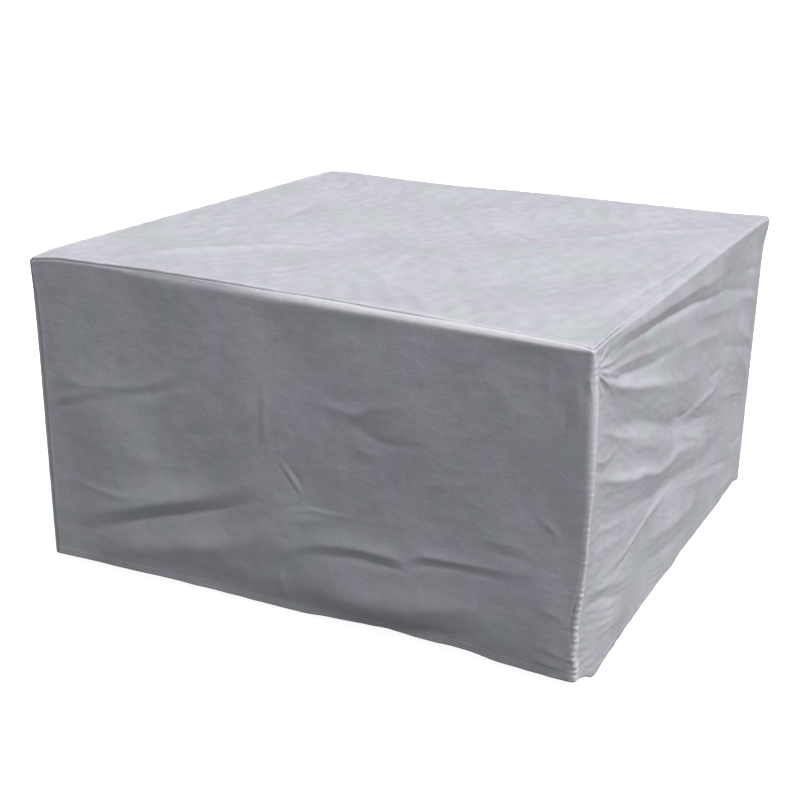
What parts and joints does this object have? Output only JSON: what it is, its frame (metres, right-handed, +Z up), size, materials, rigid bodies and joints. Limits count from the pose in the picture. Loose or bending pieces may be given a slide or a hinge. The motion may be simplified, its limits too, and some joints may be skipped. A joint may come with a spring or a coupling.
{
  "type": "patio furniture cover",
  "caption": "Square box-shaped fabric cover that drops over outdoor furniture, open below, with sewn corner seams and a turned hem.",
  "frame": {"origin": "middle of the cover's top, on the cloth's lower face, where it rests on the furniture", "axes": "+Z up; +X along the front panel, to the right as seen from outside; the front panel faces -Y"},
  "size_m": [1.3867, 1.3723, 0.7525],
  "materials": {
    "cover_cloth": "matt coated woven polyester, silver grey"
  },
  "bodies": {
    "root": {"top_panel": "cover_cloth", "front_panel": "cover_cloth", "right_panel": "cover_cloth", "back_panel": "cover_cloth", "left_panel": "cover_cloth"}
  },
  "joints": []
}
